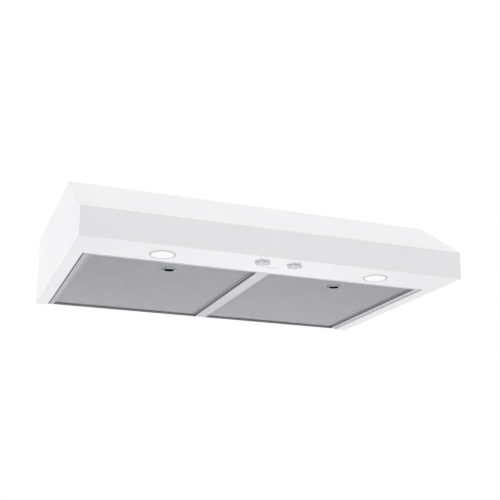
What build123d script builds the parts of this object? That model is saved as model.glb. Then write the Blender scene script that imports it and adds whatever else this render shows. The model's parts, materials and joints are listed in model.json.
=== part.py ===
from build123d import *
import math
import os

# Under cabinet range hood, 30 inch class, all sizes in millimetres.
# Model coordinates: x from the middle of the hood, y from the fascia towards the wall,
# z up from the rim plane. place() moves them to the row frame, whose origin is the middle
# of the four cabinet screw holes on the outer face of the top.

# Outer shell
WIDTH = 760.0
DEPTH = 508.0
HEIGHT = 149.0
FASCIA_HEIGHT = 54.5
SLOPE_SETBACK = 138.0
SHEET = 1.2
BEND = 1.0                      # inside radius of a fold
SEAM_FLANGE = 12.0
OVERCUT = 1.0                   # cutters reach this far past what they cut
HALF = WIDTH / 2
INNER_HALF = HALF - SHEET
INNER_BACK = DEPTH - SHEET
INNER_TOP = HEIGHT - SHEET

# Rim and filter tray
RIM_WIDTH = 24.7
PANEL_DEPTH = 98.0
RIM_FLANGE = 14.0
OPENING_HALF = HALF - RIM_WIDTH
TRAY_RECESS = 2.0
TRAY_SHEET = 1.0
TRAY_TOP = TRAY_RECESS + TRAY_SHEET
TRAY_GAP = 1.0
SIDE_GAP = 4.0                  # between a side rail and the rim, held by the rivets' spacers
RAIL_INNER = 342.0
FRONT_RAIL_END = 112.0
DIVIDER_HALF = 12.4
DIVIDER_HEIGHT = 20.0
KEEPER_TOP = 8.7
KEEPER_WIDTH = 60.0
RIVET_PLACES = (140.0, 300.0, 460.0)
RIVET_Z = 9.0
RIVET_R = 1.6
RIVET_HEAD_R = 3.0
RIVET_HEAD = 1.2

# Filters
FILTER_WIDTH = 327.0
FILTER_FRONT = 113.5
FILTER_REAR = 500.0
FILTER_BOTTOM = 5.0
FILTER_THICK = 7.0
FILTER_TOP = FILTER_BOTTOM + FILTER_THICK
FILTER_GAP = 1.1
FILTER_X = DIVIDER_HALF + FILTER_GAP + FILTER_WIDTH / 2
FRAME_LIP = 6.0
FRAME_WALL = 0.8
FRAME_ROLL = 2.0                # radius of the rolled lower edge
PAD_SLACK = 0.05
PAD_FIT = FRAME_ROLL + 0.1      # the mesh pack ends this far inside the frame's outline
MESH_SKIN = 0.5
MESH_RIBS = 5                   # spacer pleats on each side of the middle one
MESH_RIB_PITCH = 30.0
HINGE_Y = 502.0
LEDGE_TOP = 4.7
LEDGE_SHEET = 1.0
LEDGE_HEIGHT = 16.0
TAB_WIDTH = 40.0
TAB_SPREAD = 110.0
TAB_END = 505.5
TAB_GRIP = 8.0

# Filter latch
LATCH_Y = 158.0
LATCH_TRAVEL = 5.5
COLLAR_R = 11.5
COLLAR_BORE = 10.3
COLLAR_BOTTOM = 2.4
COLLAR_ROUND = 0.45
COLLAR_FLANGE_R = 16.0
SLIDE_BOTTOM = 9.0
SLIDE_SHEET = 1.0
POCKET_BORDER = 8.0
POCKET_SETBACK = 2.0
TONGUE_HALF = 8.0
TONGUE_TIP = 108.0
LATCH_CLEARANCE = 0.4
SPRING_R = 1.2
SPRING_WIRE = 0.25
SPRING_LENGTH = 16.0
SPRING_PITCH = 2.0
SPRING_X = 11.0

# Lamps
LAMP_X = 218.0
LAMP_Y = 57.0
LAMP_HOLE_R = 23.6
SLEEVE_R = LAMP_HOLE_R - 0.1
BEZEL_R = 24.5
BEZEL_BORE = 21.4
BEZEL_LIP = 0.8
BEZEL_ROUND = 0.5
LENS_R = 21.3
LENS_TOP = 2.2
LENS_ROUND = 0.6
SLEEVE_TOP = 12.0
BOARD_R = 20.0
BOARD_SHEET = 1.6
EMITTER_RING_R = 12.0
EMITTER_COUNT = 8
EMITTER_HALF = 1.4
EMITTER_HEIGHT = 0.7
HOUSING_TOP = 30.0
FIN_COUNT = 12
FIN_HALF = 0.8
SINK_BASE = 4.0
SINK_CORE_R = 9.0
CLIP_REACH = 12.0
CLIP_HALF = 5.0
CLIP_SHEET = 0.6

# Controls
KNOB_X = 32.5
KNOB_Y = 33.0
KNOB_R = 14.8
KNOB_VALLEY_R = 9.6
KNOB_LOBES = 6
KNOB_LOBE_POINTS = 8
KNOB_ROUND = 0.8
KNOB_FACE = 1.5                 # left under the end of the shaft
KNOB_BOTTOM = -5.0
KNOB_TOP = -0.5
KNOB_RECESS_R = 7.6
KNOB_RECESS = 2.8
SHAFT_R = 3.0
RUNNING = 0.05                  # radial clearance of a shaft in its bearing
BUSH_R = 4.5
SWITCH_BODY = 28.0
SWITCH_TOP = 20.0
SWITCH_CORNER = 4.0
SWITCH_CROWN = 4.0              # closed top above the shaft
BUSH_BOTTOM = -2.2
NUT_R = 7.0
NUT_HEIGHT = 2.0
TERMINAL_PITCH = 8.0
TERMINAL_ROW = 6.0
TERMINAL_LENGTH = 8.0
TERMINAL_HALF = 2.4
TERMINAL_HALF_SHEET = 0.4

# Duct, damper and blower
DUCT_LENGTH = 254.0
DUCT_DEPTH = 82.5
DUCT_Y = 430.0
DUCT_SLIP = 1.0                 # the connector is this much smaller per side than the duct
CONNECTOR_WALL = 1.0
CONNECTOR_TOP = 190.0
CONNECTOR_FLANGE = 14.0
CONNECTOR_SCREW_PITCH = 100.0
REAR_DUCT_RISE = 18.0           # above the middle of the back
COVER_BORDER = 10.0
COVER_SCREW_X = 110.0
DAMPER_Z = 160.0
DAMPER_SHEET = 1.0
DAMPER_PIN_R = 1.5
DAMPER_PIN_INSET = 3.5
FLAP_SIDE_GAP = 1.5
FLAP_REAR_GAP = 1.0
BARREL_INSET = 20.0
BARREL_HALF = 15.0
BARREL_WALL = 1.0
STOP_WIDTH = 2.0
STOP_SHEET = 1.3
STOP_GAP = 0.3
OUTLET_BORDER = 2.0
SCROLL_TIP_ANGLE = 100.0
SCROLL_START_R = 42.0
SCROLL_END_R = 58.0
AXIS_Y = DUCT_Y + DUCT_DEPTH / 2 - SCROLL_END_R
AXIS_Z = 78.0
SCROLL_IN = 36.0
SCROLL_OUT = 127.0
SCROLL_STEPS = 13
EYE_R = 31.0
RING_FLANGE = 7.0
RING_DEPTH = 4.0
RING_FIT = 0.8
WHEEL_R = 38.0
WHEEL_IN = 42.0
WHEEL_OUT = 120.0
BLADE_COUNT = 28
BLADE_ROOT_R = 31.0
BLADE_SHEET = 0.8
BLADE_BELLY = (4.0, 1.2)        # outwards from the root, and sideways
BLADE_LEAN = 5.0
WHEEL_BORDER = 0.8
END_RING = 2.0
HUB_R = 8.0
HUB_LENGTH = 16.0
HUB_CLEARANCE = 3.0
MOTOR_SHAFT_R = 4.0
MOTOR_R = 36.0
MOTOR_HALF = 27.0
MOTOR_ROUND = 4.0
SHAFT_END = 4.0
STACK_HALF = 9.0
STACK_RIM = 2.0
BOSS_LENGTH = 5.0
BOSS_R = 9.0
STRAP_SHEET = 1.5
STRAP_GAP = 0.2
STRAP_HALF = 16.0
STRAP_TOP_HALF = 25.0
STRAP_DROP = 14.0
CAPACITOR_HALF = 22.0
CAPACITOR_R = 15.0
CAPACITOR_ROUND = 1.5
CAPACITOR_Y = AXIS_Y - 62.0

# Fixings
SCREW_X = 610.0
SCREW_Y = 240.0
SCREW_HOLE_R = 3.5
PATTERN_Y = (SLOPE_SETBACK + DEPTH) / 2
KNOCKOUT_R = 11.1
WIRING_X = 295.0
WIRING_Y = 330.0
WIRING_SIZE = 90.0
WIRING_BOTTOM = 100.0
BOX_SHEET = 1.0
BLOCK_INSET = 8.0
BLOCK_WIDTH = 20.0
BLOCK_HALF = 22.0
BLOCK_HEIGHT = 12.0
BLOCK_PITCH = 14.0
BLOCK_HOLE_R = 3.0
BLOCK_HOLE_DEPTH = 6.0
DRIVER_X = (-345.0, -268.0)
DRIVER_Y = (28.0, 68.0)
DRIVER_TOP = 24.0
DRIVER_ROUND = 3.0
DRIVER_FOOT = 7.0
DRIVER_FOOT_HALF = 6.0
DRIVER_FOOT_SHEET = 2.0
SMALL_SCREW_R = 1.9
SMALL_HEAD_R = 3.6
SMALL_HEAD = 2.0
SMALL_HEAD_ROUND = 0.9
SMALL_TIP = 4.0
RECESS_HALF = 1.7
RECESS_HALF_SLOT = 0.35
RECESS_DEPTH = 1.2


def block(x, y, z):
    """A box from three (low, high) pairs."""
    spans = (x, y, z)
    size = [high - low for low, high in spans]
    middle = [(high + low) / 2 for low, high in spans]
    return Pos(*middle) * Box(*size)


def past(low, high):
    """A cutter's span, reaching past both faces."""
    return (low - OVERCUT, high + OVERCUT)


def upright(x, y, z, radius):
    """A cylinder standing on z[0] and ending at z[1]."""
    middle = (z[0] + z[1]) / 2
    return Pos(x, y, middle) * Cylinder(radius, z[1] - z[0])


def along_x(x, y, z, radius):
    """A cylinder lying along x between x[0] and x[1]."""
    middle = (x[0] + x[1]) / 2
    return Pos(middle, y, z) * Rot(0, 90, 0) * Cylinder(radius, x[1] - x[0])


def extrude_x(face, x):
    """A y-z outline, extruded between x[0] and x[1]."""
    return extrude(Plane.YZ.offset(x[0]) * face, x[1] - x[0])


def mirror_x(shape, side):
    """The shape as drawn for the right (+1), or its mirror image for the left (-1)."""
    return shape if side > 0 else mirror(shape, Plane.YZ)


def offset_path(points, distance):
    """The path moved to its own left by a distance, with mitred corners."""
    directions = []
    for start, end in zip(points, points[1:]):
        length = math.dist(start, end)
        directions.append(((end[0] - start[0]) / length, (end[1] - start[1]) / length))
    moved = []
    for index, point in enumerate(points):
        before = directions[max(index - 1, 0)]
        after = directions[min(index, len(directions) - 1)]
        normal = (-before[1] - after[1], before[0] + after[0])
        scale = distance / (1 + before[0] * after[0] + before[1] * after[1])
        moved.append((point[0] + normal[0] * scale, point[1] + normal[1] * scale))
    return moved


def folded_sheet(points, thickness):
    """A folded sheet's section: the points run along one skin and the sheet is on their left."""
    skin_radii = []
    back_radii = []
    for before, corner, after in zip(points, points[1:], points[2:]):
        run_in = (corner[0] - before[0], corner[1] - before[1])
        run_out = (after[0] - corner[0], after[1] - corner[1])
        turns_left = run_in[0] * run_out[1] - run_in[1] * run_out[0] > 0
        skin_radii.append(BEND + thickness if turns_left else BEND)
        back_radii.append(BEND if turns_left else BEND + thickness)
    skin = FilletPolyline(*points, radius=skin_radii)
    back = FilletPolyline(*offset_path(points, thickness), radius=back_radii)
    near_end = Line(skin @ 0, back @ 0)
    far_end = Line(skin @ 1, back @ 1)
    return make_face([*skin.edges(), far_end, *back.edges(), near_end])


def top_screw_holes():
    """The four cabinet screw holes, as cutters."""
    holes = []
    for x in (-SCREW_X / 2, SCREW_X / 2):
        for y in (-SCREW_Y / 2, SCREW_Y / 2):
            holes.append(upright(x, PATTERN_Y + y, past(INNER_TOP, HEIGHT), SCREW_HOLE_R))
    return holes


def duct_opening(z, border=OUTLET_BORDER):
    """A block through a sheet, as large as the duct less a border all round."""
    half_length = DUCT_LENGTH / 2 - border
    half_depth = DUCT_DEPTH / 2 - border
    return block((-half_length, half_length), (DUCT_Y - half_depth, DUCT_Y + half_depth), z)


SHELL_PATH = [
    (DEPTH, HEIGHT),
    (SLOPE_SETBACK, HEIGHT),
    (0, FASCIA_HEIGHT),
    (0, 0),
]


def make_hood_shell():
    """Top, slope and fascia, folded from one sheet."""
    shell = extrude_x(folded_sheet(SHELL_PATH, SHEET), (-INNER_HALF, INNER_HALF))
    for hole in top_screw_holes():
        shell -= hole
    shell -= duct_opening(past(INNER_TOP, HEIGHT))
    shell -= upright(WIRING_X, WIRING_Y, past(INNER_TOP, HEIGHT), KNOCKOUT_R)
    return shell


def make_side_panel(side):
    """A flat end with a flange that is welded inside the shell."""
    outline = Polyline(*SHELL_PATH, (DEPTH, 0), close=True)
    panel = extrude_x(make_face(outline), (INNER_HALF, HALF))
    flange_path = offset_path(SHELL_PATH, SHEET)
    flange_path[0] = (INNER_BACK, flange_path[0][1])
    flange_path[-1] = (flange_path[-1][0], RIM_FLANGE)
    panel += extrude_x(folded_sheet(flange_path, SHEET), (INNER_HALF - SEAM_FLANGE, INNER_HALF))
    return mirror_x(panel, side)


def make_back_panel():
    """The wall side, with a knocked-out rear duct opening."""
    panel = block((-INNER_HALF, INNER_HALF), (INNER_BACK, DEPTH), (TRAY_RECESS, INNER_TOP))
    half_length = DUCT_LENGTH / 2 - OUTLET_BORDER
    panel -= block((-half_length, half_length), past(INNER_BACK, DEPTH), rear_duct_span())
    return panel


def rear_duct_span():
    """Height span of the rear duct opening."""
    middle = HEIGHT / 2 + REAR_DUCT_RISE
    half_depth = DUCT_DEPTH / 2 - OUTLET_BORDER
    return (middle - half_depth, middle + half_depth)


def make_rear_duct_cover():
    """Plate that closes the unused rear duct opening from inside."""
    low, high = rear_duct_span()
    half_length = DUCT_LENGTH / 2 + COVER_BORDER
    plate_z = (low - COVER_BORDER, high + COVER_BORDER)
    return block((-half_length, half_length), (INNER_BACK - SHEET, INNER_BACK), plate_z)


def make_bottom_pan():
    """The lamp and control panel and both side rims, stamped as one sheet."""
    pan = block((-INNER_HALF, INNER_HALF), (SHEET, INNER_BACK), (0, SHEET))
    flange_half = OPENING_HALF + SHEET
    flange_front = PANEL_DEPTH - SHEET
    pan += block((-flange_half, flange_half), (flange_front, INNER_BACK), (0, RIM_FLANGE))
    pan -= block((-OPENING_HALF, OPENING_HALF), (PANEL_DEPTH, DEPTH), past(0, RIM_FLANGE))
    for side in (-1, 1):
        pan -= upright(side * LAMP_X, LAMP_Y, past(0, SHEET), LAMP_HOLE_R)
        pan -= upright(side * KNOB_X, KNOB_Y, past(0, SHEET), BUSH_R)
    return pan


def make_side_rail(side):
    """Recessed strip beside a filter, with a flange riveted to the rim."""
    outer = OPENING_HALF - SIDE_GAP
    span = (PANEL_DEPTH + TRAY_GAP, INNER_BACK)
    rail = block((RAIL_INNER, outer), span, (TRAY_RECESS, TRAY_TOP))
    rail += block((outer - TRAY_SHEET, outer), span, (TRAY_RECESS, RIM_FLANGE))
    return mirror_x(rail, side)


def make_front_rail():
    """Recessed strip behind the control panel, with a keeper flange at each latch."""
    front = PANEL_DEPTH + TRAY_GAP
    rail = block((-RAIL_INNER, RAIL_INNER), (front, FRONT_RAIL_END), (TRAY_RECESS, TRAY_TOP))
    rail += block((-RAIL_INNER, RAIL_INNER), (front, front + TRAY_SHEET), (TRAY_RECESS, RIM_FLANGE))
    for side in (-1, 1):
        keeper_x = (side * FILTER_X - KEEPER_WIDTH / 2, side * FILTER_X + KEEPER_WIDTH / 2)
        keeper_y = (FRONT_RAIL_END - TRAY_SHEET, FRONT_RAIL_END)
        rail += block(keeper_x, keeper_y, (TRAY_RECESS, KEEPER_TOP))
    return rail


def make_divider():
    """T-shaped bar between the filters."""
    span = (FRONT_RAIL_END, INNER_BACK)
    bar = block((-DIVIDER_HALF, DIVIDER_HALF), span, (TRAY_RECESS, TRAY_TOP))
    bar += block((-TRAY_SHEET / 2, TRAY_SHEET / 2), span, (TRAY_RECESS, DIVIDER_HEIGHT))
    return bar


def make_rear_ledge():
    """Angle on the back panel that the filters' rear tabs hook over, cut away at the divider."""
    half = RAIL_INNER - TRAY_GAP
    ledge_z = (LEDGE_TOP - LEDGE_SHEET, LEDGE_TOP)
    ledge = block((-half, half), (HINGE_Y, INNER_BACK), ledge_z)
    ledge += block((-half, half), (INNER_BACK - LEDGE_SHEET, INNER_BACK), (LEDGE_TOP, LEDGE_HEIGHT))
    ledge -= block((-TRAY_SHEET, TRAY_SHEET), (HINGE_Y - OVERCUT, INNER_BACK), (0, DIVIDER_HEIGHT))
    return ledge


def filter_span(side):
    """The x span of one filter."""
    return (side * FILTER_X - FILTER_WIDTH / 2, side * FILTER_X + FILTER_WIDTH / 2)


def make_filter_frame(side):
    """U-shaped aluminium edging, crimped round the four sides of the pad."""
    low, high = filter_span(side)
    frame = block((low, high), (FILTER_FRONT, FILTER_REAR), (FILTER_BOTTOM, FILTER_TOP))
    frame = fillet(frame.faces().sort_by(Axis.Z)[0].edges(), FRAME_ROLL)
    channel = block((low + FRAME_WALL, high - FRAME_WALL),
                    (FILTER_FRONT + FRAME_WALL, FILTER_REAR - FRAME_WALL),
                    (FILTER_BOTTOM + FRAME_WALL, FILTER_TOP - FRAME_WALL))
    frame -= fillet(channel.faces().sort_by(Axis.Z)[0].edges(), FRAME_ROLL - FRAME_WALL)
    frame -= block((low + FRAME_LIP, high - FRAME_LIP),
                   (FILTER_FRONT + FRAME_LIP, FILTER_REAR - FRAME_LIP),
                   past(FILTER_BOTTOM, FILTER_TOP))
    slot_half = TONGUE_HALF + LATCH_CLEARANCE
    slot_x = (side * FILTER_X - slot_half, side * FILTER_X + slot_half)
    slot_z = (SLIDE_BOTTOM - LATCH_CLEARANCE, FILTER_TOP + OVERCUT)
    frame -= block(slot_x, past(FILTER_FRONT, FILTER_FRONT + FRAME_LIP), slot_z)
    return frame


def obround(x, y, z, radius, travel):
    """An upright slot: a cylinder swept rearward by the travel."""
    slot = upright(x, y, z, radius)
    slot += upright(x, y + travel, z, radius)
    slot += block((x - radius, x + radius), (y, y + travel), z)
    return slot


def make_filter_pad(side):
    """Mesh pack of one filter: two skins on spacer pleats, cut out for the latch and its slide."""
    low, high = filter_span(side)
    bottom = FILTER_BOTTOM + FRAME_WALL + PAD_SLACK
    top = FILTER_TOP - FRAME_WALL - PAD_SLACK
    pad_x = (low + PAD_FIT, high - PAD_FIT)
    pad_y = (FILTER_FRONT + PAD_FIT, FILTER_REAR - PAD_FIT)
    pad = block(pad_x, pad_y, (bottom, bottom + MESH_SKIN))
    pad += block(pad_x, pad_y, (top - MESH_SKIN, top))
    x = side * FILTER_X
    for step in range(-MESH_RIBS, MESH_RIBS + 1):
        rib_x = x + step * MESH_RIB_PITCH
        pad += block((rib_x - MESH_SKIN / 2, rib_x + MESH_SKIN / 2), pad_y, (bottom, top))
    through = past(FILTER_BOTTOM, FILTER_TOP)
    above = (SLIDE_BOTTOM - LATCH_CLEARANCE, FILTER_TOP + OVERCUT)
    pad -= obround(x, LATCH_Y, through, COLLAR_R + LATCH_CLEARANCE, LATCH_TRAVEL)
    pad -= obround(x, LATCH_Y, above, COLLAR_FLANGE_R + LATCH_CLEARANCE, LATCH_TRAVEL)
    half = TONGUE_HALF + LATCH_CLEARANCE
    pad -= block((x - half, x + half), (FILTER_FRONT, LATCH_Y), above)
    spring_half = SPRING_X + SPRING_R + SPRING_WIRE + LATCH_CLEARANCE
    spring_rear = LATCH_Y + COLLAR_FLANGE_R + SPRING_LENGTH + LATCH_CLEARANCE
    spring_low = SLIDE_BOTTOM + SLIDE_SHEET / 2 - SPRING_R - SPRING_WIRE - LATCH_CLEARANCE
    spring_z = (spring_low, FILTER_TOP + OVERCUT)
    pad -= block((x - spring_half, x + spring_half), (LATCH_Y, spring_rear), spring_z)
    return pad


def make_latch_cover(side):
    """Plate over the latch pocket, with a turned-down abutment for the springs."""
    x = side * FILTER_X
    half = COLLAR_FLANGE_R + POCKET_BORDER
    rear = LATCH_Y + COLLAR_FLANGE_R + SPRING_LENGTH
    cover = block((x - half, x + half),
                  (FILTER_FRONT + FRAME_LIP + POCKET_SETBACK, rear + POCKET_BORDER),
                  (FILTER_TOP, FILTER_TOP + SLIDE_SHEET))
    abutment = SPRING_X + SPRING_R
    cover += block((x - abutment, x + abutment), (rear - SLIDE_SHEET, rear),
                   (SLIDE_BOTTOM, FILTER_TOP + SLIDE_SHEET))
    return cover


def make_rear_tabs(side):
    """Two hooks riveted to the filter's rear edge, resting over the ledge."""
    tabs = []
    for offset in (-TAB_SPREAD, TAB_SPREAD):
        x = side * FILTER_X + offset
        x_span = (x - TAB_WIDTH / 2, x + TAB_WIDTH / 2)
        hook = block(x_span, (FILTER_REAR, TAB_END), (FILTER_BOTTOM, FILTER_BOTTOM + TRAY_SHEET))
        hook += block(x_span, (FILTER_REAR, FILTER_REAR + TRAY_SHEET), (FILTER_BOTTOM, FILTER_TOP))
        hook += block(x_span, (FILTER_REAR - TAB_GRIP, FILTER_REAR + TRAY_SHEET),
                      (FILTER_TOP, FILTER_TOP + TRAY_SHEET))
        tabs.append(hook)
    return Compound(tabs)


def make_latch_collar(side):
    """Finger pull: a round collar that hangs below the mesh, with a slide flange above."""
    x = side * FILTER_X
    slide_z = (SLIDE_BOTTOM, SLIDE_BOTTOM + SLIDE_SHEET)
    collar = upright(x, LATCH_Y, (COLLAR_BOTTOM, SLIDE_BOTTOM + SLIDE_SHEET), COLLAR_R)
    collar += upright(x, LATCH_Y, slide_z, COLLAR_FLANGE_R)
    ear_half = SPRING_X + SPRING_R + SPRING_WIRE
    ear_rear = LATCH_Y + COLLAR_FLANGE_R
    collar += block((x - ear_half, x + ear_half), (LATCH_Y, ear_rear), slide_z)
    collar -= upright(x, LATCH_Y, past(COLLAR_BOTTOM, SLIDE_BOTTOM + SLIDE_SHEET), COLLAR_BORE)
    rim = collar.edges().filter_by(GeomType.CIRCLE).group_by(Axis.Z)[0]
    return fillet(rim, COLLAR_ROUND)


def make_latch_tongue(side):
    """Spring-steel tongue from the slide flange to the keeper."""
    x = side * FILTER_X
    rear = LATCH_Y - math.sqrt(COLLAR_FLANGE_R ** 2 - TONGUE_HALF ** 2)
    across = (x - TONGUE_HALF, x + TONGUE_HALF)
    slide_z = (SLIDE_BOTTOM, SLIDE_BOTTOM + SLIDE_SHEET)
    tongue = block(across, (TONGUE_TIP, LATCH_Y), slide_z)
    tongue -= upright(x, LATCH_Y, past(*slide_z), COLLAR_FLANGE_R)
    tongue -= block(across, (rear, LATCH_Y), past(*slide_z))
    return tongue


def make_latch_springs(side):
    """Two small compression springs behind the slide flange."""
    springs = []
    start_y = LATCH_Y + COLLAR_FLANGE_R + SPRING_WIRE
    length = SPRING_LENGTH - SLIDE_SHEET - 2 * SPRING_WIRE
    for offset in (-SPRING_X, SPRING_X):
        helix = Helix(SPRING_PITCH, length, SPRING_R)
        section = Plane(origin=helix @ 0, z_dir=helix % 0) * Circle(SPRING_WIRE)
        coil = sweep(section, helix, is_frenet=True)
        middle_z = SLIDE_BOTTOM + SLIDE_SHEET / 2
        springs.append(Pos(side * FILTER_X + offset, start_y, middle_z) * Rot(-90, 0, 0) * coil)
    return Compound(springs)


def make_lamp_bezel(side):
    """Trim ring and sleeve that hold the lens."""
    bezel = upright(0, 0, (-BEZEL_LIP, 0), BEZEL_R)
    bezel += upright(0, 0, (0, SLEEVE_TOP), SLEEVE_R)
    bezel -= upright(0, 0, past(-BEZEL_LIP, SLEEVE_TOP), BEZEL_BORE)
    rim = bezel.edges().filter_by(GeomType.CIRCLE).group_by(Axis.Z)[0].sort_by(SortBy.RADIUS)[-1]
    bezel = fillet(rim, BEZEL_ROUND)
    return Pos(side * LAMP_X, LAMP_Y, 0) * bezel


def make_lamp_lens(side):
    """Shallow domed diffuser."""
    lens = upright(0, 0, (-BEZEL_LIP, LENS_TOP), LENS_R)
    rim = lens.edges().group_by(Axis.Z)[0]
    lens = fillet(rim, LENS_ROUND)
    return Pos(side * LAMP_X, LAMP_Y, 0) * lens


def make_lamp_board(side):
    """LED board with a ring of emitters facing the lens."""
    face = SLEEVE_TOP - BOARD_SHEET
    board = upright(0, 0, (face, SLEEVE_TOP), BOARD_R)
    emitter_ring = PolarLocations(EMITTER_RING_R, EMITTER_COUNT)
    across = (-EMITTER_HALF, EMITTER_HALF)
    emitter = block(across, across, (face - EMITTER_HEIGHT, face))
    for location in emitter_ring:
        board += location * emitter
    return Pos(side * LAMP_X, LAMP_Y, 0) * board


def make_lamp_heat_sink(side):
    """Finned can behind the LED board."""
    base_top = SLEEVE_TOP + SINK_BASE
    sink = upright(0, 0, (SLEEVE_TOP, base_top), SLEEVE_R)
    sink += upright(0, 0, (base_top, HOUSING_TOP), SINK_CORE_R)
    fin = block((SINK_CORE_R - FIN_HALF, SLEEVE_R), (-FIN_HALF, FIN_HALF), (base_top, HOUSING_TOP))
    for step in range(FIN_COUNT):
        sink += Rot(0, 0, step * 360 / FIN_COUNT) * fin
    return Pos(side * LAMP_X, LAMP_Y, 0) * sink


def make_lamp_clips(side):
    """Two leaf clips that clamp the lamp to the pan."""
    clips = []
    for direction in (-1, 1):
        across = (-CLIP_HALF, CLIP_HALF)
        leaf = block((SLEEVE_R, SLEEVE_R + CLIP_SHEET), across, (SHEET, SLEEVE_TOP))
        leaf += block((SLEEVE_R, SLEEVE_R + CLIP_REACH), across, (SHEET, SHEET + CLIP_SHEET))
        clips.append(Pos(side * LAMP_X, LAMP_Y, 0) * Rot(0, 0, 90 - 90 * direction) * leaf)
    return clips


def knob_outline():
    """Six-lobed outline: a smooth curve that swings between the lobes and the valleys."""
    middle = (KNOB_R + KNOB_VALLEY_R) / 2
    swing = (KNOB_R - KNOB_VALLEY_R) / 2
    points = []
    samples = KNOB_LOBE_POINTS * KNOB_LOBES
    for step in range(samples):
        angle = 2 * math.pi * step / samples
        radius = middle + swing * math.cos(KNOB_LOBES * angle)
        points.append((radius * math.cos(angle), radius * math.sin(angle)))
    return make_face(Spline(*points, periodic=True))


def make_knob(side):
    """Rotary knob with finger lobes, hollow above to clear the switch nut."""
    grip = Pos(0, 0, KNOB_BOTTOM) * extrude(knob_outline(), KNOB_TOP - KNOB_BOTTOM)
    rim = grip.edges().group_by(Axis.Z)[0]
    grip = fillet(rim, KNOB_ROUND)
    grip -= upright(0, 0, (KNOB_TOP - KNOB_RECESS, KNOB_TOP + OVERCUT), KNOB_RECESS_R)
    grip -= upright(0, 0, (KNOB_BOTTOM + KNOB_FACE, KNOB_TOP + OVERCUT), SHAFT_R)
    return Pos(side * KNOB_X, KNOB_Y, 0) * grip


def make_knob_shaft(side):
    """Switch spindle that the knob is pushed on."""
    return upright(side * KNOB_X, KNOB_Y, (KNOB_BOTTOM + KNOB_FACE, SWITCH_TOP - SWITCH_CROWN), SHAFT_R)


def make_switch(side):
    """Rotary switch with a bush through the pan and terminals on top."""
    half = SWITCH_BODY / 2
    body = block((-half, half), (-half, half), (SHEET, SWITCH_TOP))
    body = chamfer(body.edges().filter_by(Axis.Z), SWITCH_CORNER)
    body += upright(0, 0, (BUSH_BOTTOM, SHEET), BUSH_R)
    for x in (-TERMINAL_PITCH, 0, TERMINAL_PITCH):
        for y in (-TERMINAL_ROW, TERMINAL_ROW):
            body += block((x - TERMINAL_HALF_SHEET, x + TERMINAL_HALF_SHEET),
                          (y - TERMINAL_HALF, y + TERMINAL_HALF),
                          (SWITCH_TOP, SWITCH_TOP + TERMINAL_LENGTH))
    body -= upright(0, 0, (BUSH_BOTTOM - OVERCUT, SWITCH_TOP - SWITCH_CROWN), SHAFT_R + RUNNING)
    return Pos(side * KNOB_X, KNOB_Y, 0) * body


def make_switch_nuts():
    """Hexagon nuts on the two switch bushes, under the pan."""
    nuts = []
    for side in (-1, 1):
        nut = extrude(RegularPolygon(NUT_R, side_count=6), NUT_HEIGHT)
        nut -= upright(0, 0, past(0, NUT_HEIGHT), BUSH_R)
        nuts.append(Pos(side * KNOB_X, KNOB_Y, -NUT_HEIGHT) * nut)
    return Compound(nuts)


def scroll_outline(inset, top):
    """Closed y-z outline of the spiral casing, drawn smaller by the inset."""
    spiral = []
    turn = 360 - SCROLL_TIP_ANGLE
    for step in range(SCROLL_STEPS + 1):
        share = step / SCROLL_STEPS
        angle = math.radians(SCROLL_TIP_ANGLE + turn * share)
        radius = SCROLL_START_R + (SCROLL_END_R - SCROLL_START_R) * share - inset
        spiral.append((AXIS_Y + radius * math.cos(angle), AXIS_Z + radius * math.sin(angle)))
    rear_top = (DUCT_Y + DUCT_DEPTH / 2 - inset, top)
    front_top = (DUCT_Y - DUCT_DEPTH / 2 + inset, top)
    outlet = [Line(spiral[-1], rear_top), Line(rear_top, front_top), Line(front_top, spiral[0])]
    return make_face([Spline(*spiral), *outlet])


def make_scroll(side):
    """Spiral blower casing, open at the top outlet and at the outer eye."""
    casing = extrude_x(scroll_outline(0, INNER_TOP), (SCROLL_IN, SCROLL_OUT))
    hollow = (SCROLL_IN + SHEET, SCROLL_OUT - SHEET)
    casing -= extrude_x(scroll_outline(SHEET, INNER_TOP + OVERCUT), hollow)
    casing -= along_x(past(SCROLL_OUT - SHEET, SCROLL_OUT), AXIS_Y, AXIS_Z, EYE_R)
    casing -= along_x(past(SCROLL_IN, SCROLL_IN + SHEET), AXIS_Y, AXIS_Z, HUB_R + HUB_CLEARANCE)
    return mirror_x(casing, side)


def make_inlet_ring(side):
    """Flared ring in the casing's eye."""
    inner = SCROLL_OUT - RING_DEPTH
    outer = SCROLL_OUT + SHEET
    ring = along_x((SCROLL_OUT, outer), AXIS_Y, AXIS_Z, EYE_R + RING_FLANGE)
    ring += along_x((inner, SCROLL_OUT), AXIS_Y, AXIS_Z, EYE_R - RING_FIT)
    ring -= along_x(past(inner, outer), AXIS_Y, AXIS_Z, EYE_R - RING_FIT - SHEET)
    return mirror_x(ring, side)


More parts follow.
